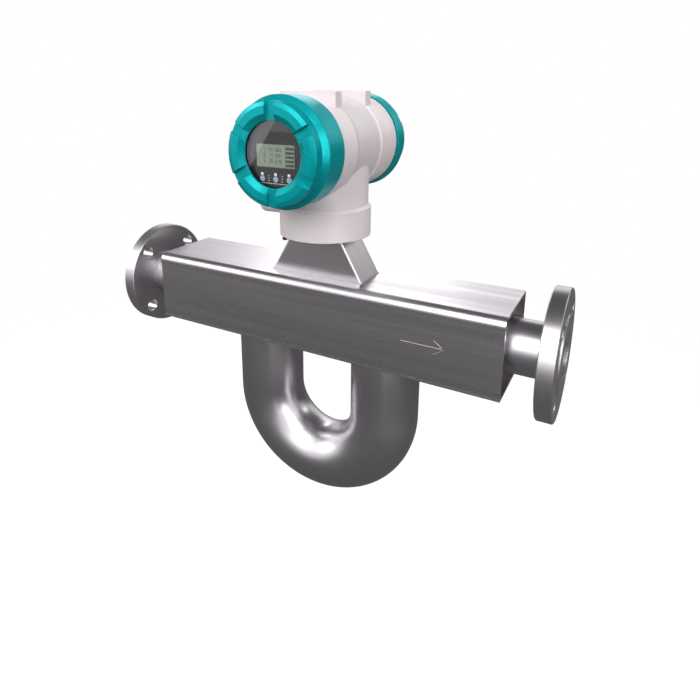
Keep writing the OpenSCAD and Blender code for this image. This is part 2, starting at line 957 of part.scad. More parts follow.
module transmitter_housing() {
    color(paint)
        at_middle()
            difference() {
                union() {
                    translate([0, 0, barrel_z])
                        rotate([90, 0, 0])
                            barrel_outside();
                    top_pad(-front_collar_y - pad_l);
                    top_pad(rib_y);
                    translate([0, 0, foot_z0])
                        cylinder(d = neck_d, h = barrel_z - foot_z0);
                    translate([0, 0, foot_z0])
                        cylinder(d = foot_d, h = foot_h);
                    translate([0, 0, foot_z1])
                        cylinder(d1 = foot_d, d2 = foot_d - 2 * foot_edge, h = foot_edge);
                    entry_block();
                    translate([0, foot_d / 4, earth_z])
                        rotate([-90, 0, 0])
                            cylinder(r = earth_r, h = earth_y - foot_d / 4);
                }
                // compartments in the barrel and the wire hole between them
                translate([0, partition_y, barrel_z])
                    rotate([90, 0, 0])
                        cylinder(r = cavity_r, h = partition_y + front_reach + thread_l + eps);
                translate([0, partition_y + partition_t, barrel_z])
                    rotate([-90, 0, 0])
                        cylinder(r = cavity_r, h = rear_reach + thread_l);
                translate([0, partition_y - eps, barrel_z - cavity_r / 2])
                    rotate([-90, 0, 0])
                        cylinder(r = 9, h = partition_t + 2 * eps);
                // neck chamber, its way up into the barrel and the foot's bore
                translate([0, 0, shoulder_z])
                    cylinder(r = neck_inner_r, h = neck_roof_z - shoulder_z);
                translate([0, -6, neck_roof_z - eps])
                    cylinder(r = 18, h = barrel_d / 4);
                translate([0, 0, foot_z0 - eps])
                    cylinder(d = spigot_d + 2 * fit, h = foot_h);
                at_entries() {
                    translate([0, 0, -eps])
                        cylinder(d = entry_d + 4.4, h = entry_seat + eps);
                    cylinder(d = entry_d, h = entry_reach - neck_inner_r + 10);
                }
                at_lock()
                    translate([0, 0, foot_z0 - eps])
                        cylinder(d = lock_d + 2 * fit, h = 18 + eps);
                rotate([0, 0, lock_angle])
                    translate([spigot_d / 2 - eps, 0, shoe_z])
                        along_x()
                            cylinder(d = shoe_d + 2 * fit, h = lock_r - spigot_d / 2 + eps);
                translate([0, -stop_pin_r, shoulder_z - 8])
                    cylinder(d = stop_pin_d, h = 8 + eps);
                translate([0, earth_y - 10, earth_z])
                    rotate([-90, 0, 0])
                        cylinder(d = 5, h = 10 + eps);
            }
}

module swivel_stop_pin() {
    color(steel)
        at_middle()
            translate([0, -stop_pin_r, shoulder_z - 8])
                cylinder(d = stop_pin_d, h = 8 + gap + nut_t);
}

// Locks the swivel: turned in from below, its point drives the brake shoe against the spigot
module swivel_lock_screw() {
    color(black)
        at_middle()
            at_lock()
                difference() {
                    union() {
                        translate([0, 0, lock_head_z + 0.8])
                            cylinder(d = lock_d, h = foot_z0 + 15 - lock_head_z);
                        translate([0, 0, lock_head_z])
                            cylinder(d1 = lock_d - 1.6, d2 = lock_d, h = 0.8);
                    }
                    translate([0, 0, lock_head_z - eps])
                        cylinder(d = 4, h = 4 + eps, $fn = 6);
                }
}

module brake_shoe() {
    color(brass)
        at_middle()
            rotate([0, 0, lock_angle])
                difference() {
                    translate([spigot_d / 2 - eps, 0, shoe_z])
                        along_x()
                            cylinder(d = shoe_d, h = lock_r - spigot_d / 2 + eps);
                    translate([0, 0, foot_z0])
                        cylinder(d = spigot_d + 2 * fit, h = 12);
                    translate([lock_r, 0, foot_z0])
                        cylinder(d = lock_d, h = 12);
                }
}

module entry_plugs() {
    seal_t = 0.8;
    color(black)
        at_middle()
            at_entries()
                difference() {
                    union() {
                        cylinder(d = entry_d + 4, h = entry_seat - seal_t);
                        cylinder(d = entry_d, h = entry_seat + 14);
                    }
                    translate([0, 0, -eps])
                        cylinder(d = entry_d / 2, h = 5 + eps, $fn = 6);
                }
}

module entry_seals() {
    seal_t = 0.8;
    color(rubber)
        at_middle()
            at_entries()
                translate([0, 0, entry_seat - seal_t])
                    tube(entry_d + 4, entry_d, seal_t);
}

module earth_clamp() {
    color(machined)
        at_middle()
            translate([0, earth_y, earth_z])
                rotate([-90, 0, 0])
                    difference() {
                        translate([-6.5, -6.5, 0])
                            cube([13, 13, 2]);
                        translate([0, 0, -eps])
                            cylinder(d = 5.4, h = 2 + 2 * eps);
                    }
}

module earth_screw() {
    color(machined)
        at_middle()
            translate([0, earth_y, earth_z])
                rotate([-90, 0, 0])
                    difference() {
                        union() {
                            translate([0, 0, -8])
                                cylinder(d = 5, h = 8 + 2.5);
                            translate([0, 0, 2])
                                cylinder(d = 9.5, h = 3.6);
                        }
                        translate([-5, -0.6, 2 + 3.6 - 1.4])
                            cube([10, 1.2, 1.4 + eps]);
                    }
}

// ---- Electronics ----

// Plastic barrel that carries the circuit boards in the front compartment
module electronics_cassette() {
    color(black)
        facing_front()
            difference() {
                translate([0, 0, -partition_y])
                    tube(2 * cassette_r, 2 * (cassette_r - cassette_t), partition_y + holder_z0);
                translate([0, -cassette_r / 2, 6])
                    rotate([90, 0, 0])
                        cylinder(r = 14, h = cassette_r);
            }
}

module spacer_places() {
    for (a = [45 : 90 : 315])
        rotate(a)
            translate([spacer_pcr, 0, 0])
                children();
}

module board_spacers() {
    color(brass)
        facing_front()
            spacer_places() {
                translate([0, 0, -partition_y])
                    cylinder(r = spacer_r, h = partition_y + power_board_z, $fn = 24);
                translate([0, 0, power_board_z + board_t])
                    cylinder(r = spacer_r, h = main_board_z - power_board_z - board_t, $fn = 24);
            }
}

module power_board() {
    color(board_green)
        facing_front()
            translate([0, 0, power_board_z])
                union() {
                    cylinder(r = board_r, h = board_t);
                    translate([-22, -14, board_t])
                        cube([20, 24, 16]);
                    for (x = [8, 22])
                        translate([x, 4, board_t])
                            cylinder(r = 5, h = 14, $fn = 32);
                    translate([4, -26, board_t])
                        cube([18, 10, 8]);
                }
}

module main_board() {
    color(board_green)
        facing_front()
            translate([0, 0, main_board_z])
                union() {
                    cylinder(r = board_r, h = board_t);
                    translate([-10, -10, board_t])
                        cube([20, 20, 2]);
                    translate([-30, -6, board_t])
                        cube([12, 10, 2.4]);
                    translate([16, 6, board_t])
                        cube([14, 8, 2.4]);
                    translate([-14, 22, board_t])
                        cube([28, 6, 9]);
                }
}

module display_holder() {
    color(black)
        facing_front()
            translate([0, 0, holder_z0])
                tube(2 * cavity_r - 1, 2 * case_r - 12, holder_t);
}

// Cup of the display; its front flange carries the faceplate, with the board behind
module display_case() {
    z0 = holder_z0 + holder_t;
    z1 = face_z1 - face_t;
    wall = 2;
    flange_l = 2.5;
    color(black)
        facing_front()
            rotate_extrude()
                polygon([
                    [case_r - wall, z0], [case_r, z0], [case_r, z1 - 0.6], [case_r - 0.6, z1],
                    [case_r - wall - 4, z1], [case_r - wall - 4, z1 - flange_l],
                    [case_r - wall, z1 - flange_l]
                ]);
}

module display_board() {
    flange_l = 2.5;
    color(board_green)
        facing_front()
            translate([0, 0, face_z1 - face_t - flange_l - board_t])
                union() {
                    cylinder(r = case_r - 2, h = board_t);
                    translate([-case_r * 0.33, -case_r * 0.7, -8])
                        cube([case_r * 0.66, 6, 8]);
                }
}

module lcd_panel() {
    z0 = face_z1 - face_t - 2.5;
    color([0.45, 0.50, 0.42])
        facing_front()
            translate([-lcd_w / 2, lcd_z - lcd_h / 2, z0])
                cube([lcd_w, lcd_h, face_z1 - 0.4 - z0]);
}

module key_places() {
    for (i = [-1, 0, 1])
        translate([i * key_pitch, -key_drop, 0])
            children();
}

module display_faceplate() {
    color(black)
        facing_front()
            difference() {
                translate([0, 0, face_z1 - face_t])
                    cylinder(r = face_r, h = face_t);
                translate([-lcd_w / 2, lcd_z - lcd_h / 2, face_z1 - face_t - eps])
                    cube([lcd_w, lcd_h, face_t + 2 * eps]);
                key_places()
                    translate([0, 0, face_z1 - 2])
                        cylinder(d = key_d, h = 2 + eps);
            }
}

module optical_keys() {
    color([0.55, 0.60, 0.72])
        facing_front()
            key_places()
                translate([0, 0, face_z1 - 2])
                    cylinder(d = key_d, h = 2 - key_sink);
}

module terminal_base() {
    z0 = partition_y + partition_t;
    color(black)
        facing_rear()
            translate([0, 0, z0])
                difference() {
                    cylinder(r = cavity_r - 1, h = 6);
                    translate([0, cavity_r / 2, -eps])
                        cylinder(r = 9, h = 6 + 2 * eps);
                }
}

module terminal_rows() {
    for (y = terminal_ys, i = [-3 : 3])
        translate([i * terminal_w / 7.2, y, 0])
            children();
}

module terminal_blocks() {
    z0 = partition_y + partition_t + 6;
    color([0.25, 0.45, 0.28])
        facing_rear()
            difference() {
                for (y = terminal_ys)
                    translate([-terminal_w / 2, y - terminal_w / 8.5, z0])
                        cube([terminal_w, terminal_w / 4.25, 15]);
                translate([0, 0, z0 + 7])
                    terminal_rows()
                        cylinder(d = 5, h = 8 + eps, $fn = 32);
            }
}

module terminal_screws() {
    z0 = partition_y + partition_t + 6;
    color(machined)
        facing_rear()
            translate([0, 0, z0 + 7])
                terminal_rows()
                    difference() {
                        cylinder(d = 5, h = 5, $fn = 32);
                        translate([-3, -0.4, 4])
                            cube([6, 0.8, 1 + eps]);
                    }
}

// ---- Covers, local z from the swivel axis outwards ----

// Six slots, open through the rim, in which a bar turns the cover
module tool_slots(face_z, inner_r) {
    for (i = [0 : 5])
        rotate(30 + i * 60)
            translate([inner_r, -slot_w / 2, face_z - slot_depth])
                cube([lid_r, slot_w, slot_depth + eps]);
}

function lid_outline(z0, z1) = [
    [lid_back_r - 0.8, z0], [lid_back_r, z0 + 0.8],
    [lid_r, z1 - shoulder_l - 0.8], [lid_r - 0.5, z1 - shoulder_l],
    [lid_face_r + 1, z1 - shoulder_l + shoulder_h - 1],
    [lid_face_r, z1 - shoulder_l + shoulder_h],
    [lid_face_r, z1 - dome_h - 0.6], [lid_face_r - 0.6, z1 - dome_h],
    [lid_face_r - dome_w, z1]
];

module lid_skirt_cut(z0, l) {
    translate([0, 0, z0 - eps])
        cylinder(r = lid_thread_r, h = l + eps);
    translate([0, 0, z0 - eps])
        cylinder(r = oring_seat_r, h = oring_seat_l + eps);
}

module front_lid() {
    z0 = front_lid_z0;
    z1 = front_face;
    seat_r = glass_r + gap;
    inner_z = glass_z0 - window_ring_t - 0.6;
    color(teal)
        facing_front()
            difference() {
                rotate_extrude()
                    polygon(concat([[0, z0]], lid_outline(z0, z1), [[0, z1]]));
                lid_skirt_cut(z0, inner_z - 8 - z0);
                translate([0, 0, inner_z - 8])
                    cylinder(r1 = lid_thread_r, r2 = lid_thread_r - 6, h = 8);
                translate([0, 0, inner_z - eps])
                    cylinder(r = seat_r, h = glass_z1 + gasket_t - inner_z + eps);
                translate([0, 0, glass_z0])
                    cylinder(d = window_d, h = front_lid_l);
                translate([0, 0, z1 - slot_depth])
                    cylinder(r1 = window_d / 2, r2 = land_r, h = slot_depth);
                translate([0, 0, z1])
                    cylinder(r = land_r, h = eps);
                tool_slots(z1, window_d / 2 - 2);
            }
}

module rear_lid() {
    z0 = rear_lid_z0;
    z1 = rear_face;
    color(teal)
        facing_rear()
            difference() {
                rotate_extrude()
                    polygon(concat([[0, z0]], lid_outline(z0, z1), [[0, z1]]));
                lid_skirt_cut(z0, thread_l + 4);
                translate([0, 0, z0 + thread_l + 4 - eps])
                    cylinder(r1 = lid_thread_r - 3, r2 = lid_thread_r - 7, h = 8 + eps);
                translate([0, 0, z1 - slot_depth + 1.5])
                    cylinder(r = land_r, h = slot_depth);
                tool_slots(z1, land_r - 4);
            }
}

module lid_oring(z) {
    translate([0, 0, z + oring_seat_l - gap - lid_oring_w / 2])
        torus(oring_seat_r - gap - lid_oring_w / 2, lid_oring_w);
}

module front_lid_oring() {
    color(rubber)
        facing_front()
            lid_oring(front_lid_z0);
}

module rear_lid_oring() {
    color(rubber)
        facing_rear()
            lid_oring(rear_lid_z0);
}

module window_gasket() {
    color(rubber)
        facing_front()
            translate([0, 0, glass_z1])
                tube(2 * glass_r, window_d + 1, gasket_t);
}

module window_glass() {
    color([0.7, 0.8, 0.8, 0.4])
        facing_front()
            translate([0, 0, glass_z0])
                cylinder(r = glass_r, h = glass_t);
}

// Threaded ring that holds the glass against its gasket
module window_ring() {
    color(machined)
        facing_front()
            translate([0, 0, glass_z0 - window_ring_t])
                difference() {
                    tube(2 * (glass_r + gap), 2 * window_ring_r, window_ring_t);
                    for (a = [0, 90])
                        rotate(a)
                            translate([-glass_r - 2, -1.5, -eps])
                                cube([2 * glass_r + 4, 3, 1 + eps]);
                }
}

// ---- Nodes ----

flange(-1);  // inlet_flange
flange(1);  // outlet_flange
manifold(-1);  // inlet_manifold
manifold(1);  // outlet_manifold
casing_front_sheet();
casing_rear_sheet();
end_plate(-1);  // inlet_end_plate
end_plate(1);  // outlet_end_plate
u_casing();
measuring_tube(-1);  // front_measuring_tube
measuring_tube(1);  // rear_measuring_tube
tube_braces();
coil_brackets();
magnet_brackets();
drive_coil();
pickoff_coils();
drive_magnet();
pickoff_magnets();
temperature_sensor();
sensor_harness();
feedthrough();
sensor_board();
board_posts();
neck_shroud();
neck_spigot();
spigot_oring();
spigot_nut();
transmitter_housing();
swivel_stop_pin();
swivel_lock_screw();
brake_shoe();
entry_plugs();
entry_seals();
earth_clamp();
earth_screw();
electronics_cassette();
main_board();
power_board();
board_spacers();
display_holder();
display_case();
display_board();
display_faceplate();
lcd_panel();
optical_keys();
terminal_base();
terminal_blocks();
terminal_screws();
front_lid_oring();
front_lid();
window_gasket();
window_glass();
window_ring();
rear_lid_oring();
rear_lid();
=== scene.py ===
# %% [markdown]
# # A Coriolis flow meter in the studio
# The meter's solids arrive packed and stay where they are. This lesson gives each of them a
# finish, adds the small forms that welding, casting and printing leave behind, and lights it.
# Everything is in metres: X runs downstream, Z is up, and the origin is the inlet's raised face.

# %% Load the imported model
import json
import math

import bpy
import numpy as np
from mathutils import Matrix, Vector


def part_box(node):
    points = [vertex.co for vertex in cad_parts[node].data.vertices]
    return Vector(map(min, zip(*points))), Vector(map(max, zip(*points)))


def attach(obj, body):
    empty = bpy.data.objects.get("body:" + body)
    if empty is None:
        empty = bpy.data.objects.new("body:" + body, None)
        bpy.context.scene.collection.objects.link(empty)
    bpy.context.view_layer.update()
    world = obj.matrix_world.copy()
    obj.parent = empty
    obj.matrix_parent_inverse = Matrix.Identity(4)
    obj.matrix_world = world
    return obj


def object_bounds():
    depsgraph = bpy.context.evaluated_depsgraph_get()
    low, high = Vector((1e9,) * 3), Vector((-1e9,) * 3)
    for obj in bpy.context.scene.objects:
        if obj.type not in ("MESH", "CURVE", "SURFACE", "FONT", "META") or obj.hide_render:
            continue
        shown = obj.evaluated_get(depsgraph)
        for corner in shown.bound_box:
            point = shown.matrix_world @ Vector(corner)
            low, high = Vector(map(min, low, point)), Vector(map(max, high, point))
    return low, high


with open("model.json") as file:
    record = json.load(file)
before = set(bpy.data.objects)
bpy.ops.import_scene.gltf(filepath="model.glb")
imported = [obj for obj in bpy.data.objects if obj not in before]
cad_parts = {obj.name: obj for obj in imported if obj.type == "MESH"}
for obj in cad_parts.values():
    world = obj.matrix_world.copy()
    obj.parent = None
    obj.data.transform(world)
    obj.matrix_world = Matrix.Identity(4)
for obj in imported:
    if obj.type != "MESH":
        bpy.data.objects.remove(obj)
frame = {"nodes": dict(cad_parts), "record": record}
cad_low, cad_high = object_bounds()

nodes = frame["nodes"]

# %% [markdown]
# ## Where things are
# The middle of the meter, the barrel's axis, the casing and the covers are all read from the
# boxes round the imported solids. A box can't give the housing's radii, because its pads and foot
# reach past them, so these few sizes are written here once and used by name below.

# %% Read the main places from the solids
def corners(name):
    """The lowest and highest corner of one solid, as numpy vectors."""
    low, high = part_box(name)
    return np.array(low), np.array(high)


MM = 0.001
NECK_R, BARREL_R = 56 * MM, 60 * MM        # the housing's neck and its barrel
COLLAR_BACK_Y = -28 * MM                   # where the barrel's front collar ends

front_sheet, rear_sheet = corners("casing_front_sheet"), corners("casing_rear_sheet")
casing_low = np.minimum(front_sheet[0], rear_sheet[0])
casing_high = np.maximum(front_sheet[1], rear_sheet[1])
mid_x = (casing_low[0] + casing_high[0]) / 2
lid_low, lid_high = corners("front_lid")
barrel_z = (lid_low[2] + lid_high[2]) / 2
print("middle", round(mid_x, 4), "barrel axis", round(barrel_z, 4))

# %% [markdown]
# ## Camera
# A camera aims along its own -Z axis. Its azimuth and elevation give the direction back from the
# object, and a quaternion that tracks that direction turns it. The lens shift frames the meter in
# the upper part of the picture without tilting its uprights.

# %% Camera
AZIMUTH, ELEVATION = math.radians(29.42), math.radians(14.63)
LENS_MM, SENSOR_MM = 29.11, 36.0
LENS_SHIFT = (0.0274, -0.168)
CAMERA_OFFSET = (0.3621, -0.6276, 0.2912)       # from the middle of the pipe's axis
back = Vector((math.sin(AZIMUTH) * math.cos(ELEVATION),
               -math.cos(AZIMUTH) * math.cos(ELEVATION), math.sin(ELEVATION)))
camera_data = bpy.data.cameras.new("camera")
camera_data.sensor_width = SENSOR_MM
camera_data.lens = LENS_MM
camera_data.shift_x, camera_data.shift_y = LENS_SHIFT
camera = bpy.data.objects.new("camera", camera_data)
camera.location = (mid_x + CAMERA_OFFSET[0], CAMERA_OFFSET[1], CAMERA_OFFSET[2])
camera.rotation_mode = "QUATERNION"
camera.rotation_quaternion = back.to_track_quat("Z", "Y")
bpy.context.scene.collection.objects.link(camera)
bpy.context.scene.camera = camera
bpy.context.scene.view_settings.view_transform = "Standard"
print("camera", tuple(round(v, 3) for v in camera.location))

# %% [markdown]
# ## Surfaces from arrays
# A shape is a grid of points: rows follow one parameter, columns the other. The same grid
# pattern then gives the faces of any of them. A closed shape whose faces point inwards has a
# negative volume, so the sign of the volume tells when to turn them round.

# %% Grid meshes
def quads(rows, columns, wrap_rows, wrap_columns):
    """Corner numbers of each face between neighbours of a grid, joined round where it wraps."""
    i, j = np.meshgrid(np.arange(rows if wrap_rows else rows - 1),
                       np.arange(columns if wrap_columns else columns - 1), indexing="ij")
    i2, j2 = (i + 1) % rows, (j + 1) % columns
    return np.stack([i * columns + j, i2 * columns + j, i2 * columns + j2, i * columns + j2],
                    axis=-1).reshape(-1, 4)


def signed_volume(points, faces):
    """Sum over the faces of the tetrahedra from the origin: positive when they point outwards."""
    a, b, c, d = (points[faces[:, k]] for k in range(4))
    return float((np.cross(a, b) * c + np.cross(a, c) * d).sum() / 6)


def build(name, points, faces, body, finish, smooth=True):
    """One mesh object from an array of points and an array of four-cornered faces."""
    points = np.asarray(points, float).reshape(-1, 3)
    faces = np.asarray(faces, int)
    if signed_volume(points - points.mean(0), faces) < 0:
        faces = faces[:, ::-1]
    mesh = bpy.data.meshes.new(name)
    mesh.from_pydata(points.tolist(), [], faces.tolist())
    mesh.polygons.foreach_set("use_smooth", np.full(len(mesh.polygons), smooth))
    mesh.validate()
    piece = bpy.data.objects.new(name, mesh)
    bpy.context.scene.collection.objects.link(piece)
    piece.data.materials.append(finish)
    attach(piece, body)
    return piece


def stack(*grids):
    """Several (points, faces) pairs as one pair, with the corner numbers moved on."""
    points, faces, count = [], [], 0
    for p, f in grids:
        points.append(np.asarray(p, float).reshape(-1, 3))
        faces.append(np.asarray(f, int) + count)
        count += len(points[-1])
    return np.concatenate(points), np.concatenate(faces)


# %% [markdown]
# ## The studio
# A pale floor keeps the meter's soft shadow, and the world behind it is plain white, for the
# camera and in metal and glass; plain diffuse light finds a softer world. Metal shows what stands
# round it, so dark cloth is hung about a shiny thing and light is let in where a highlight
# belongs. The cards here do both, and only reflections see them: the cloths and the flag are
# dark, the softboxes, wings, strips, spots and small cards are bright. The wide cloth below hides
# the white floor from the metal. Take it away and the steel shows the floor, much paler.

# %% Floor
def ray_kind(tree, first, *others):
    """1 for rays of the kinds named, 0 for all other rays."""
    path = tree.nodes.new("ShaderNodeLightPath")
    total = path.outputs[first]
    for name in others:
        add = tree.nodes.new("ShaderNodeMath")
        add.operation = "MAXIMUM"
        tree.links.new(total, add.inputs[0])
        tree.links.new(path.outputs[name], add.inputs[1])
        total = add.outputs[0]
    return total


def flat_card(name, centre, across, along):
    """A single rectangle: centre plus or minus two half-edges."""
    centre, across, along = (np.array(v, float) for v in (centre, across, along))
    mesh = bpy.data.meshes.new(name)
    mesh.from_pydata([centre - across - along, centre + across - along,
                      centre + across + along, centre - across + along], [], [(0, 1, 2, 3)])
    card = bpy.data.objects.new(name, mesh)
    bpy.context.scene.collection.objects.link(card)
    return card


def glow(name, colour, strength):
    """A plain emission material for a studio card."""
    mat = bpy.data.materials.new(name)
    mat.use_nodes = True
    tree = mat.node_tree
    tree.nodes.clear()
    emission = tree.nodes.new("ShaderNodeEmission")
    emission.inputs["Color"].default_value = (*colour, 1)
    emission.inputs["Strength"].default_value = strength
    out = tree.nodes.new("ShaderNodeOutputMaterial")
    tree.links.new(emission.outputs[0], out.inputs["Surface"])
    return mat


def only_reflected(card):
    """The card shows in reflections, and neither in the picture nor in the light on the floor."""
    card.visible_camera = False
    card.visible_diffuse = False
    card.visible_shadow = False
    card.visible_transmission = False


WHITE_FOR = ("Is Camera Ray", "Is Glossy Ray", "Is Transmission Ray")
FLOOR_Z = cad_low[2] - 0.16
FLOOR_HALF = 30.0
FLOOR_GREY, FLOOR_LIFT = 0.42, 0.66              # what it scatters, and what it adds itself
SHADOW_CENTRE = (mid_x - 0.1, 0.15, FLOOR_Z)
SHADOW_NEAR, SHADOW_FAR = 0.35, 1.3              # the shadow fades to white between these
floor = flat_card("floor", (mid_x, 0, FLOOR_Z), (FLOOR_HALF, 0, 0), (0, FLOOR_HALF, 0))
floor_mat = bpy.data.materials.new("pale_floor")
floor_mat.use_nodes = True
tree = floor_mat.node_tree
tree.nodes.clear()
paper = tree.nodes.new("ShaderNodeBsdfDiffuse")
paper.inputs["Color"].default_value = (FLOOR_GREY, FLOOR_GREY, FLOOR_GREY, 1)
lift = tree.nodes.new("ShaderNodeEmission")
lift_level = tree.nodes.new("ShaderNodeMath")
lift_level.operation = "MULTIPLY"
lift_level.inputs[1].default_value = FLOOR_LIFT
tree.links.new(ray_kind(tree, *WHITE_FOR), lift_level.inputs[0])
tree.links.new(lift_level.outputs[0], lift.inputs["Strength"])
both = tree.nodes.new("ShaderNodeAddShader")
tree.links.new(paper.outputs[0], both.inputs[0])
tree.links.new(lift.outputs[0], both.inputs[1])
white = tree.nodes.new("ShaderNodeEmission")
tree.links.new(ray_kind(tree, *WHITE_FOR), white.inputs["Strength"])
place = tree.nodes.new("ShaderNodeTexCoord")
offset = tree.nodes.new("ShaderNodeVectorMath")
offset.operation = "DISTANCE"
offset.inputs[1].default_value = SHADOW_CENTRE
tree.links.new(place.outputs["Object"], offset.inputs[0])
fade = tree.nodes.new("ShaderNodeMapRange")
fade.interpolation_type = "SMOOTHSTEP"
fade.inputs["From Min"].default_value = SHADOW_NEAR
fade.inputs["From Max"].default_value = SHADOW_FAR
tree.links.new(offset.outputs["Value"], fade.inputs["Value"])
far = tree.nodes.new("ShaderNodeMixShader")
tree.links.new(fade.outputs[0], far.inputs[0])
tree.links.new(both.outputs[0], far.inputs[1])
tree.links.new(white.outputs[0], far.inputs[2])
out = tree.nodes.new("ShaderNodeOutputMaterial")
tree.links.new(far.outputs[0], out.inputs["Surface"])
floor.data.materials.append(floor_mat)
print("floor at", round(FLOOR_Z, 3))


# %% Cards that only reflections see
def reflected_card(name, centre, across, along, level, tone=(1.0, 0.97, 1.0)):
    """A card of one plain level that only reflections see."""
    card = flat_card(name, centre, across, along)
    card.data.materials.append(glow(name, tone, level))
    only_reflected(card)
    return card


# name, centre, half-width, half-height, level; metres from the middle of the pipe's axis
for name, place, across, along, level in (
        ("dark_cloth", (0, 0, FLOOR_Z + 0.01), (7, 0, 0), (0, 7, 0), 0.12),
        ("ceiling_cloth", (0, 2.0, 3.0), (5, 0, 0), (0, 3.4, 0), 0.10),
        ("back_softbox", (-2.28, 4.9, 2.28), (0.95, 0.44, 0), (0, 0, 0.66), 2.85),
        ("back_wing_right", (-0.90, 5.54, 2.28), (0.43, 0.20, 0), (0, 0, 0.66), 1.6),
        ("back_wing_left", (-3.90, 4.15, 1.75), (0.66, 0.31, 0), (0, 0, 1.10), 0.85),
        ("side_cloth", (3.4, 2.6, 1.7), (1.6, -1.2, 0), (0, 0, 1.1), 0.60),
        ("side_flag", (3.3, 2.5, 0.1), (2.4, -1.8, 0), (0, 0, 0.50), 0.04)):
    reflected_card(name, (mid_x + place[0], place[1], place[2]), across, along, level)
reflected_card("window_card", (mid_x - 0.692, -0.9, 0.201), (0.088, 0, 0.128),
               (-0.103, 0, 0.0705), 2.4, (1.0, 0.93, 1.0))


def card_towards(name, azimuth, elevation, width, height, level, distance):
    """A reflected card at these angles in degrees from the meter; azimuth turns from -Y to +X."""
    a, e = math.radians(azimuth), math.radians(elevation)
    out_way = np.array([math.sin(a) * math.cos(e), -math.cos(a) * math.cos(e), math.sin(e)])
    across = np.array([math.cos(a), math.sin(a), 0]) * distance * math.tan(math.radians(width / 2))
    along = np.cross(across, out_way)
    along *= distance * math.tan(math.radians(height / 2)) / np.linalg.norm(along)
    return reflected_card(name, np.array([mid_x, 0, 0]) + distance * out_way, across, along, level)


# name, azimuth, elevation, width and height in degrees, level, distance in metres
for card in (("front_strip", -8, 36, 18, 44, 5.5, 5.0),
             ("front_spot", 33, 42, 16, 18, 13.0, 5.0),
             ("left_softbox", -53, 23, 15, 15, 11.0, 5.0),
             ("right_strip", 56, 14, 12, 40, 7.0, 1.6),
             ("low_card", 31, -10, 10, 22, 1.5, 1.0),
             ("back_spot_right", 133, 29, 8, 8, 9.0, 2.5),
             ("back_spot_left", -142, 33, 8, 8, 9.0, 2.5)):
    card_towards(*card)

# %% World
WORLD_DIFFUSE = 0.55
world = bpy.data.worlds.new("studio_white")
world.use_nodes = True
bpy.context.scene.world = world
tree = world.node_tree
tree.nodes.clear()
strength = tree.nodes.new("ShaderNodeMath")           # soft for diffuse light, else plain white
strength.operation = "MAXIMUM"
strength.inputs[0].default_value = WORLD_DIFFUSE
tree.links.new(ray_kind(tree, *WHITE_FOR), strength.inputs[1])
sky = tree.nodes.new("ShaderNodeBackground")
sky.inputs["Color"].default_value = (1, 1, 1, 1)
tree.links.new(strength.outputs[0], sky.inputs["Strength"])
out = tree.nodes.new("ShaderNodeOutputWorld")
tree.links.new(sky.outputs[0], out.inputs["Surface"])
print("world 1 for the camera, metal and glass,", WORLD_DIFFUSE, "for diffuse light")

# %% Lamps
def softbox(name, place, aim, width, height, power):
    """A rectangular area lamp at place that faces aim."""
    data = bpy.data.lights.new(name, "AREA")
    data.shape = "RECTANGLE"
    data.size, data.size_y = width, height
    data.energy = power
    lamp = bpy.data.objects.new(name, data)
    lamp.location = place
    lamp.rotation_mode = "QUATERNION"
    lamp.rotation_quaternion = (Vector(place) - Vector(aim)).to_track_quat("Z", "Y")
    bpy.context.scene.collection.objects.link(lamp)
    return lamp


lamp_aim = (mid_x, 0, 0.08)
# name, place from the middle of the pipe's axis, width, height, power in watts
for name, place, width, height, power in (
        ("key", (-0.30, -2.05, 1.25), 1.3, 1.3, 34),
        ("side", (1.7, -0.55, 0.75), 0.45, 1.3, 15),
        ("overhead", (0.1, 0.5, 1.9), 1.6, 1.2, 12)):
    lamp = softbox(name, (mid_x + place[0], place[1], place[2]), lamp_aim, width, height, power)
    lamp.visible_glossy = False          # metal shows the cards and the world, not the lamps

# %% [markdown]
# ## Finishes
# A finish is a small graph. A noise in the object's own coordinates, stretched along the way the
# surface was worked, drives the roughness, the colour and a fine relief. The bevel node rounds
# the shading of sharp edges, as a real edge is rounded, and leaves the solid alone.

# %% Finish helpers
def start_finish(name, colour, metallic=0.0, roughness=0.5, **constants):
    """A principled surface, its constants set on the sockets; returns material, tree, shader."""
    mat = bpy.data.materials.new(name)
    mat.use_nodes = True
    tree = mat.node_tree
    tree.nodes.clear()
    shader = tree.nodes.new("ShaderNodeBsdfPrincipled")
    out = tree.nodes.new("ShaderNodeOutputMaterial")
    tree.links.new(shader.outputs[0], out.inputs["Surface"])
    shader.inputs["Base Color"].default_value = (*colour, 1)
    shader.inputs["Metallic"].default_value = metallic
    shader.inputs["Roughness"].default_value = roughness
    for key, value in constants.items():
        shader.inputs[key.replace("_", " ")].default_value = value
    return mat, tree, shader


def pattern(tree, scale, stretch=(1, 1, 1), detail=3.0, kind="Noise"):
    """A texture value in object coordinates: finer by scale, drawn out where stretch is small."""
    place = tree.nodes.new("ShaderNodeTexCoord")
    mapping = tree.nodes.new("ShaderNodeMapping")
    mapping.inputs["Scale"].default_value = stretch
    texture = tree.nodes.new(f"ShaderNodeTex{kind}")
    texture.inputs["Scale"].default_value = scale
    if kind == "Noise":
        texture.inputs["Detail"].default_value = detail
    tree.links.new(place.outputs["Object"], mapping.inputs["Vector"])
    tree.links.new(mapping.outputs[0], texture.inputs["Vector"])
    return texture.outputs[0]


def spread(tree, value, low, high, start=0.3, stop=0.7):
    """Maps value from start..stop to low..high."""
    node = tree.nodes.new("ShaderNodeMapRange")
    for key, number in (("From Min", start), ("From Max", stop), ("To Min", low), ("To Max", high)):
        node.inputs[key].default_value = number
    tree.links.new(value, node.inputs["Value"])
    return node.outputs[0]


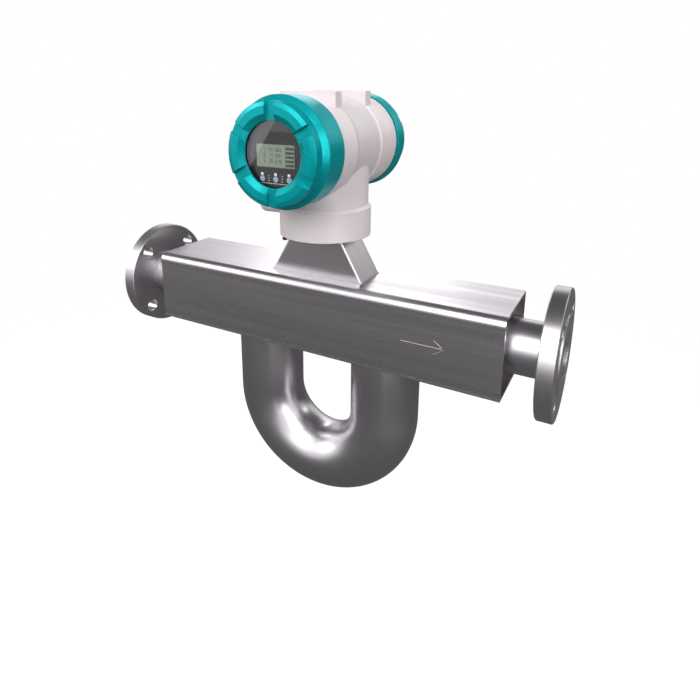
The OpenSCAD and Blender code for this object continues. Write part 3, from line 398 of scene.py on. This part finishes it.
def blend_colour(tree, value, colour_a, colour_b):
    """colour_a where value is 0 and colour_b where it is 1."""
    node = tree.nodes.new("ShaderNodeMix")
    node.data_type = "RGBA"
    tree.links.new(value, node.inputs["Factor"])
    for key, colour in (("A", colour_a), ("B", colour_b)):
        socket = [s for s in node.inputs if s.name == key and s.type == "RGBA"][0]
        if isinstance(colour, tuple):
            socket.default_value = (*colour, 1)
        else:
            tree.links.new(colour, socket)
    return [s for s in node.outputs if s.type == "RGBA"][0]


def relief(tree, shader, height, depth, edge):
    """Rounds edges in the shading by edge metres and adds a relief of depth metres."""
    bevel = tree.nodes.new("ShaderNodeBevel")
    bevel.samples = 4
    bevel.inputs["Radius"].default_value = edge
    bump = tree.nodes.new("ShaderNodeBump")
    bump.inputs["Strength"].default_value = 1.0
    bump.inputs["Distance"].default_value = depth
    tree.links.new(height, bump.inputs["Height"])
    tree.links.new(bevel.outputs[0], bump.inputs["Normal"])
    tree.links.new(bump.outputs[0], shader.inputs["Normal"])


def wear(tree, shader, colour_a, colour_b, rough_a, rough_b, scale, stretch=(1, 1, 1)):
    """Colour and roughness that drift together over the surface."""
    drift = spread(tree, pattern(tree, scale, stretch), 0, 1)
    tree.links.new(blend_colour(tree, drift, colour_a, colour_b), shader.inputs["Base Color"])
    tree.links.new(spread(tree, drift, rough_a, rough_b, 0, 1), shader.inputs["Roughness"])
    return drift


def metal(name, colour, rough, grain=(1, 1, 1), grain_scale=900.0, depth=0.00002, edge=0.0008,
          drift=0.06, dull=0.9, width=9.0, **constants):
    """A bare metal: a worked grain along one way, with broad changes of polish over it."""
    mat, tree, shader = start_finish(name, colour, 1.0, rough, **constants)
    broad = wear(tree, shader, colour, tuple(c * dull for c in colour),
                 rough - drift, rough + drift, width, grain)
    fine = pattern(tree, grain_scale, grain, 2.0)
    add = tree.nodes.new("ShaderNodeMath")
    add.operation = "MULTIPLY_ADD"
    add.inputs[1].default_value = 0.15
    tree.links.new(broad, add.inputs[0])
    tree.links.new(fine, add.inputs[2])
    relief(tree, shader, add.outputs[0], depth, edge)
    return mat


def coated(name, colour, rough, bump_scale=700.0, depth=0.00003, edge=0.0010, change=0.93,
           **constants):
    """Paint, plastic or rubber: an even colour, a slight mottle and a fine skin."""
    mat, tree, shader = start_finish(name, colour, 0.0, rough, **constants)
    wear(tree, shader, colour, tuple(c * change for c in colour), rough - 0.04, rough + 0.06, 25.0)
    relief(tree, shader, pattern(tree, bump_scale, detail=2.0), depth, edge)
    return mat


# %% One finish for each slot
# The second pair of colours is painted shade for the barrel's skin, and the last colour is painted
# shade for the corner behind the front collar.
PAINT_LIGHT, PAINT_LIGHT_LOW = (0.76, 0.69, 0.71), (0.72, 0.65, 0.67)
PAINT_BARREL_SHADE, PAINT_BARREL_SHADE_LOW = (0.67, 0.62, 0.635), (0.63, 0.58, 0.595)
PAINT_CORNER_SHADE = (0.36, 0.33, 0.34)
finish = {
    # the casing's sheets, brushed lengthwise; the neck, brushed up its slope; the bent U
    "satin_steel": metal("satin_steel", (0.66, 0.64, 0.66), 0.30, (0.02, 1, 1), 1100,
                         depth=0.000008, edge=0.0002, drift=0.045, dull=0.85, width=110.0),
    "neck_steel": metal("neck_steel", (0.66, 0.64, 0.66), 0.30, (0.03, 1, 0.20), 900,
                        depth=0.000006, edge=0.0003, drift=0.04, dull=0.86, width=60.0),
    "bent_steel": metal("bent_steel", (0.58, 0.565, 0.585), 0.34, (1, 1, 1), 700,
                        depth=0.000008, edge=0.0008),
    "machined_steel": metal("machined_steel", (0.64, 0.62, 0.64), 0.33, (1, 1, 1), 800,
                            depth=0.000008, edge=0.0010),
    "tube_steel": metal("tube_steel", (0.64, 0.63, 0.65), 0.32, (0.1, 1, 1), 900,
                        depth=0.000008),
    "plated_metal": metal("plated_metal", (0.70, 0.69, 0.66), 0.26),
    "black_screw": metal("black_screw", (0.06, 0.06, 0.065), 0.38, edge=0.0004),
    # paints: the teal one carries metal flake, so it reflects in its own colour
    "grey_paint": coated("grey_paint", PAINT_LIGHT, 0.42, 450, depth=0.00005, edge=0.0012),
    "teal_paint": coated("teal_paint", (0.0, 0.345, 0.368), 0.29, 450, depth=0.00001,
                         edge=0.0014, Metallic=0.32, Specular_IOR_Level=0.35,
                         Specular_Tint=(0.35, 0.97, 1.0, 1)),
    # plastics, boards and the display
    "black_plastic": coated("black_plastic", (0.022, 0.022, 0.025), 0.42, 1500,
                            depth=0.00002, edge=0.0006, change=0.8),
    "terminal_plastic": coated("terminal_plastic", (0.10, 0.24, 0.12), 0.45, 1500,
                               depth=0.00002, edge=0.0005),
    "circuit_board": coated("circuit_board", (0.01, 0.10, 0.04), 0.35, 500,
                            depth=0.00002, edge=0.0003, change=0.7),
    "display_face": coated("display_face", (0.010, 0.009, 0.011), 0.30, 900,
                           depth=0.00001, edge=0.0004, change=0.8, Specular_IOR_Level=0.2),
    "display_glass": coated("display_glass", (0.24, 0.29, 0.21), 0.12, 900,
                            depth=0.00001, edge=0.0004, change=0.92),
    "key_lens": coated("key_lens", (0.38, 0.44, 0.60), 0.15, 600,
                       depth=0.00001, edge=0.0004, change=0.9),
    # coils, terminals, seals and leads
    "winding": metal("winding", (0.70, 0.32, 0.16), 0.35, (1, 1, 12), 500,
                     depth=0.0001, edge=0.0004),
    "brass_parts": metal("brass_parts", (0.72, 0.55, 0.26), 0.28),
    "seal_rubber": coated("seal_rubber", (0.02, 0.02, 0.02), 0.62, 900,
                          depth=0.00004, edge=0.0004, change=0.8),
    "cable_rubber": coated("cable_rubber", (0.025, 0.025, 0.025), 0.55, 900,
                           depth=0.00004, edge=0.0004, change=0.8),
}
glass_mat, tree, shader = start_finish("window", (0.96, 0.98, 0.98), 0.0, 0.02,
                                       IOR=1.5, Transmission_Weight=1.0)
smear = spread(tree, pattern(tree, 14.0), 0.01, 0.05)
tree.links.new(smear, shader.inputs["Roughness"])
relief(tree, shader, pattern(tree, 60.0), depth=0.000004, edge=0.0004)
finish["window"] = glass_mat
print(len(finish), "finishes")

# %% [markdown]
# The covers' threads on the housing are bare metal, and fine: a wave along the barrel, turned
# once per pitch round it, is the helix. It belongs only to the two necks under the covers, so a
# mask by distance from the barrel's axis and by place along it keeps it there. The same distance
# finds the barrel's skin, which gets painted shade, a darker colour, and place along the axis
# finds the corner behind the front collar, where the painted shade is darkest.

# %% Housing paint, painted shade and thread
def maths(tree, operation, a, b=0.0, c=0.0):
    """One maths node on sockets or numbers."""
    node = tree.nodes.new("ShaderNodeMath")
    node.operation = operation
    for socket, value in zip(node.inputs, (a, b, c)):
        if isinstance(value, (int, float)):
            socket.default_value = value
        else:
            tree.links.new(value, socket)
    return node.outputs[0]


PITCH = 2.0 * MM
THREAD_END = 13 * MM                          # how far the thread reaches in from each end
THREAD_R = BARREL_R - 2.5 * MM                # what lies inside this isn't thread
SKIN_R = BARREL_R + 0.5 * MM                  # what lies inside this is the barrel
CORNER_NEAR, CORNER_FAR = 3.5 * MM, 6.5 * MM  # the corner's shade fades between these
CORNER_SHADE = 0.55                           # its share at the collar
THREAD_METAL = (0.55, 0.55, 0.55)
housing_paint_shade_mat, tree, shader = start_finish("housing_paint", PAINT_LIGHT, 0.0, 0.42)
place = tree.nodes.new("ShaderNodeTexCoord")
shift = tree.nodes.new("ShaderNodeVectorMath")
shift.operation = "SUBTRACT"
shift.inputs[1].default_value = (mid_x, 0, barrel_z)
tree.links.new(place.outputs["Object"], shift.inputs[0])
split = tree.nodes.new("ShaderNodeSeparateXYZ")
tree.links.new(shift.outputs[0], split.inputs[0])
aside, along, upward = split.outputs

around = maths(tree, "ARCTAN2", upward, aside)
radius = maths(tree, "SQRT", maths(tree, "ADD", maths(tree, "MULTIPLY", aside, aside),
                                   maths(tree, "MULTIPLY", upward, upward)))
turns = maths(tree, "ADD", maths(tree, "DIVIDE", along, PITCH),
              maths(tree, "DIVIDE", around, 2 * math.pi))
wave = maths(tree, "ABSOLUTE", maths(tree, "SUBTRACT", maths(tree, "FRACT", turns), 0.5))
housing_low, housing_high = corners("transmitter_housing")
front_zone = maths(tree, "LESS_THAN", along, housing_low[1] + THREAD_END)
rear_zone = maths(tree, "GREATER_THAN", along, housing_high[1] - THREAD_END)
thread = maths(tree, "MULTIPLY", maths(tree, "ADD", front_zone, rear_zone),
               maths(tree, "GREATER_THAN", radius, THREAD_R))

skin = spread(tree, pattern(tree, 450, detail=2.0), 0.0, 0.05)
mottle = spread(tree, pattern(tree, 25.0), 0, 1)
light = blend_colour(tree, mottle, PAINT_LIGHT, PAINT_LIGHT_LOW)
dark = blend_colour(tree, mottle, PAINT_BARREL_SHADE, PAINT_BARREL_SHADE_LOW)
# Painted shade: the barrel's skin is coloured darker than the neck and foot, standing in for the
# light it lacks.
barrel_shade_mask = maths(tree, "LESS_THAN", radius, SKIN_R)
paint = blend_colour(tree, barrel_shade_mask, light, dark)
# Painted shade: a still darker colour just behind the front collar, fading over a few millimetres,
# stands in for the shadow in that corner.
behind = maths(tree, "SUBTRACT", along, COLLAR_BACK_Y)
corner = maths(tree, "MULTIPLY", maths(tree, "GREATER_THAN", behind, 0.0),
               spread(tree, behind, CORNER_SHADE, 0.0, CORNER_NEAR, CORNER_FAR))
paint = blend_colour(tree, maths(tree, "MULTIPLY", corner, barrel_shade_mask), paint, PAINT_CORNER_SHADE)
tree.links.new(blend_colour(tree, thread, paint, THREAD_METAL), shader.inputs["Base Color"])
tree.links.new(thread, shader.inputs["Metallic"])
tree.links.new(spread(tree, mottle, 0.40, 0.48, 0, 1), shader.inputs["Roughness"])
height = maths(tree, "ADD", skin, maths(tree, "MULTIPLY", thread, wave))
relief(tree, shader, height, depth=0.0009, edge=0.0012)
finish["housing_paint"] = housing_paint_shade_mat
print("thread pitch", PITCH)

# %% Dress the solids
slot_names = {part["node"]: part["material_slot"] for part in frame["record"]["subparts"]}
for name, solid in nodes.items():
    solid.data.materials.clear()
    solid.data.materials.append(finish[slot_names[name]])
nodes["transmitter_housing"].data.materials[0] = finish["housing_paint"]
nodes["u_casing"].data.materials[0] = finish["bent_steel"]
nodes["neck_shroud"].data.materials[0] = finish["neck_steel"]
print(len(nodes), "solids dressed")

# %% [markdown]
# ## Weld beads
# Sheets and pipes are joined by beads of metal that stand in the corner between them. A bead is
# a small tube swept along the joint, with a radius that swells once for each ripple the welder
# left. All the beads of the sensor are one piece, and it rides on the sensor.

# %% Weld beads
def even_steps(path, step):
    """The closed path again, with points at equal distances of about step along it."""
    loop = np.vstack([path, path[:1]])
    lengths = np.concatenate([[0], np.cumsum(np.linalg.norm(np.diff(loop, axis=0), axis=1))])
    count = max(24, int(lengths[-1] / step))
    wanted = np.linspace(0, lengths[-1], count, endpoint=False)
    return np.stack([np.interp(wanted, lengths, loop[:, k]) for k in range(3)], axis=-1)


def ring_path(centre, radius, axis_a, axis_b):
    """A circle: centre + radius (cos t a + sin t b)."""
    t = np.linspace(0, 2 * np.pi, 360, endpoint=False)[:, None]
    return np.array(centre) + radius * (np.cos(t) * np.array(axis_a) + np.sin(t) * np.array(axis_b))


def frame_path(centre, half_a, half_b, radius, axis_a, axis_b):
    """A rectangle with round corners: quarter circles round four centres, joined by straights."""
    t = np.linspace(0, np.pi / 2, 9)
    quarter = np.concatenate([np.stack([np.cos(t + q), np.sin(t + q)], -1)
                              for q in np.arange(4) * np.pi / 2])
    signs = np.repeat([[1, 1], [-1, 1], [-1, -1], [1, -1]], 9, axis=0)
    flat = signs * (np.array([half_a, half_b]) - radius) + radius * quarter
    return np.array(centre) + flat[:, :1] * np.array(axis_a) + flat[:, 1:] * np.array(axis_b)


SWELL = 0.14                                       # share by which a ripple widens the bead


def bead(path, axis, radius, ripple=2.4 * MM, sides=8):
    """A tube round path; its radius swells as the cosine of the distance over the ripple."""
    path = even_steps(path, ripple / 4)
    along = np.roll(path, -1, axis=0) - np.roll(path, 1, axis=0)
    along /= np.linalg.norm(along, axis=1, keepdims=True)
    axis = np.array(axis, float)
    side = np.cross(along, axis)
    angle = np.linspace(0, 2 * np.pi, sides, endpoint=False)[None, :, None]
    swell = radius * (1 + SWELL * np.cos(np.arange(len(path)) * np.pi / 2))[:, None, None]
    rings = path[:, None] + swell * (np.cos(angle) * axis + np.sin(angle) * side[:, None])
    return rings, quads(len(path), sides, True, True)


X, Y, Z = np.eye(3)
weld_steel = metal("weld_steel", (0.50, 0.49, 0.50), 0.34, (1, 1, 1), 1400,
                   depth=0.00004, edge=0.0003)
u_low, u_high = corners("u_casing")
plate_in, plate_out = corners("inlet_end_plate"), corners("outlet_end_plate")
flange_in, flange_out = corners("inlet_flange"), corners("outlet_flange")
neck_low, neck_high = corners("neck_shroud")
pipe_r = corners("inlet_manifold")[1][2]
u_r = u_high[1]
leg_x = (u_high[0] - u_low[0]) / 2 - u_r
LEG_BEAD, PIPE_BEAD, NECK_BEAD = 1.7 * MM, 1.3 * MM, 0.9 * MM      # radii of the beads
under = casing_low[2] - 0.5 * MM
beads = [bead(ring_path((mid_x + side * leg_x, 0, under), u_r + 0.4 * MM, X, Y), Z, LEG_BEAD)
         for side in (-1, 1)]
for x in (plate_in[0][0] - 0.4 * MM, flange_in[1][0] + 0.4 * MM,
          plate_out[1][0] + 0.4 * MM, flange_out[0][0] - 0.4 * MM):
    beads.append(bead(ring_path((x, 0, 0), pipe_r + 0.3 * MM, Y, Z), X, PIPE_BEAD))
neck_foot = frame_path((mid_x, 0, neck_low[2] + 0.2 * MM),
                       (neck_high[0] - neck_low[0]) / 2 + 0.2 * MM,
                       neck_high[1] + 0.2 * MM, 3 * MM, X, Y)
beads.append(bead(neck_foot, Z, NECK_BEAD, 1.8 * MM))
weld_points, weld_faces = stack(*beads)
build("weld_beads", weld_points, weld_faces, "sensor", weld_steel)
print("weld beads:", len(beads), "runs,", len(weld_faces), "faces")

# %% [markdown]
# ## Where the housing's neck meets its barrel
# The two cylinders of the casting cross, and a casting has no sharp inner corner. Roll a ball
# along the corner: its centre stays one ball radius off both cylinders, and the skin it touches
# is an arc between the two contact points. That arc, carried round the neck, is the fillet.

# %% Casting fillet
def unit(v):
    """The same directions with length 1."""
    return v / np.linalg.norm(v, axis=-1, keepdims=True)


def rolling_ball(neck_r, barrel_r, ball, turns=240, steps=8):
    """Contact arcs of a ball that rolls between an upright cylinder and a level one above it."""
    t = np.linspace(0, 2 * np.pi, turns, endpoint=False)
    x, y = (neck_r + ball) * np.cos(t), (neck_r + ball) * np.sin(t)
    z = -np.sqrt((barrel_r + ball) ** 2 - x ** 2)
    centre = np.stack([x, y, z], -1)
    to_neck = -np.stack([np.cos(t), np.sin(t), 0 * t], -1)
    to_barrel = -unit(np.stack([x, 0 * t, z], -1))
    share = np.linspace(0, 1, steps)[None, :, None]
    arc = unit((1 - share) * to_neck[:, None] + share * to_barrel[:, None])
    skin = centre[:, None] + ball * arc
    hidden = centre[:, None] + 1.6 * ball * unit(to_neck + to_barrel)[:, None]
    return np.concatenate([skin, hidden], axis=1)       # closed by a line inside the casting


BALL_R, SINK = 3.5 * MM, 0.05 * MM            # SINK keeps the fillet's edges under the skin
fillet_grid = rolling_ball(NECK_R - SINK, BARREL_R - SINK, BALL_R) + np.array([mid_x, 0, barrel_z])
build("casting_fillet", fillet_grid, quads(*fillet_grid.shape[:2], True, True), "transmitter",
      finish["grey_paint"])
print("fillet", fillet_grid.shape)

# %% [markdown]
# ## What the display shows
# The liquid crystal shows plain figures in seven bars each, and a column of five dark fields at
# its right. Round keys sit below, each with a white square above it. All of it is thin print, a
# few hundredths of a millimetre in front of the part that carries it.

# %% Print on the display
SEGMENTS = {"a": (0, 1, 1, 1), "b": (1, .5, 1, 1), "c": (1, 0, 1, .5), "d": (0, 0, 1, 0),
            "e": (0, 0, 0, .5), "f": (0, .5, 0, 1), "g": (0, .5, 1, .5)}
LIT = {"0": "abcdef", "1": "bc", "2": "abged", "3": "abgcd", "4": "fgbc", "5": "afgcd",
       "6": "afgedc", "7": "abc", "8": "abcdefg", "9": "abcdfg"}


def figure(number, x, z, height, stroke):
    """Rectangles (x0, x1, z0, z1) for a row of seven-bar digits; a point is a small square."""
    width, half = height * 0.5, stroke / 2
    rects = []
    for digit in number:
        if digit == ".":
            rects.append((x - stroke, x, z - half, z + half))
            x += stroke
            continue
        for bar in LIT[digit]:
            x0, z0, x1, z1 = SEGMENTS[bar]
            rects.append((x + x0 * width - half, x + x1 * width + half,
                          z + z0 * height - half, z + z1 * height + half))
        x += width * 1.55
    return rects


def printed(name, rects, front_y, finish_name, thick=0.04 * MM):
    """Thin plates for the rectangles, standing thick in front of the face at front_y."""
    r = np.array(rects, float)
    low = np.stack([r[:, 0], np.full(len(r), front_y - thick), r[:, 2]], -1)
    high = np.stack([r[:, 1], np.full(len(r), front_y + thick / 2), r[:, 3]], -1)
    cube = np.array([[i, j, k] for i in (0, 1) for j in (0, 1) for k in (0, 1)], float)
    points = low[:, None] + cube * (high - low)[:, None]
    sides = np.array([[0, 1, 3, 2], [4, 6, 7, 5], [0, 4, 5, 1],
                      [2, 3, 7, 6], [0, 2, 6, 4], [1, 5, 7, 3]])
    faces = (np.arange(len(r)) * 8)[:, None, None] + sides
    return build(name, points, faces.reshape(-1, 4), "transmitter", finish[finish_name],
                 smooth=False)


lcd_low, lcd_high = corners("lcd_panel")
key_low, key_high = corners("optical_keys")
lcd_front, plate_front = lcd_low[1], corners("display_faceplate")[0][1]
lcd_w, lcd_h = lcd_high[0] - lcd_low[0], lcd_high[2] - lcd_low[2]
for name, colour, rough in (("lcd_ink", (0.014, 0.022, 0.012), 0.35),
                            ("lcd_bar", (0.012, 0.016, 0.011), 0.35),
                            ("print_white", (0.85, 0.87, 0.92), 0.40)):
    finish[name] = coated(name, colour, rough, 900, depth=0.00001, edge=0.0001)

# three rows of figures; columns and rows are shares of the crystal's width and height
DIGIT_H, STROKE = 3.6 * MM, 0.55 * MM
COLUMNS, ROWS = (0.20, 0.34, 0.50), (0.70, 0.45, 0.20)
ROWS_TEXT = (("1", "24", "58.3"), ("2", "17", "0.94"), ("3", "20", "6.15"))
ink = []
for z, numbers in zip(lcd_low[2] + lcd_h * np.array(ROWS), ROWS_TEXT):
    for number, share in zip(numbers, COLUMNS):
        ink += figure(number, lcd_low[0] + share * lcd_w, z, DIGIT_H, STROKE)
printed("display_figures", ink, lcd_front, "lcd_ink")

# five dark fields above one another, and the line at their left
FIELDS, FIELD_START, FIELD_PITCH = 5, 0.06, 0.18
menu_x = lcd_low[0] + 0.77 * lcd_w
bar_h = lcd_h / 5.6 * 0.62
menu = []
for k in range(FIELDS):
    z = lcd_low[2] + lcd_h * (FIELD_START + FIELD_PITCH * k)
    menu.append((menu_x, lcd_high[0] - 0.8 * MM, z, z + bar_h))
menu.append((menu_x - 0.5 * MM, menu_x - 0.2 * MM, lcd_low[2] + 0.6 * MM, lcd_high[2] - 0.6 * MM))
printed("display_menu", menu, lcd_front, "lcd_bar")

# a square above each key, three dots between keys, and a thin rule with ticks below them
SQUARE, DOT, TICK = 1.7 * MM, 0.5 * MM, 0.2 * MM              # half-widths
key_r = (key_high[2] - key_low[2]) / 2
key_z = (key_high[2] + key_low[2]) / 2
key_top, key_foot = key_z + key_r, key_z - key_r
key_xs = mid_x + np.array([-1, 0, 1]) * ((key_high[0] - key_low[0]) / 2 - key_r)
marks = [(x - SQUARE, x + SQUARE, key_top + 0.6 * MM, key_top + 2 * SQUARE) for x in key_xs]
for x in (key_xs[:-1] + key_xs[1:]) / 2:
    marks += [(x - DOT, x + DOT, key_z + dz - DOT, key_z + dz + DOT)
              for dz in (-2 * MM, 1 * MM, 4 * MM)]
marks.append((key_xs[0], key_xs[2], key_foot - 1.6 * MM, key_foot - 1.2 * MM))
marks += [(x - TICK, x + TICK, key_foot - 1.4 * MM, key_foot - 0.4 * MM) for x in key_xs]
printed("display_marks", marks, plate_front, "print_white")
print("print:", len(ink), "bars,", len(menu), "fields,", len(marks), "marks")
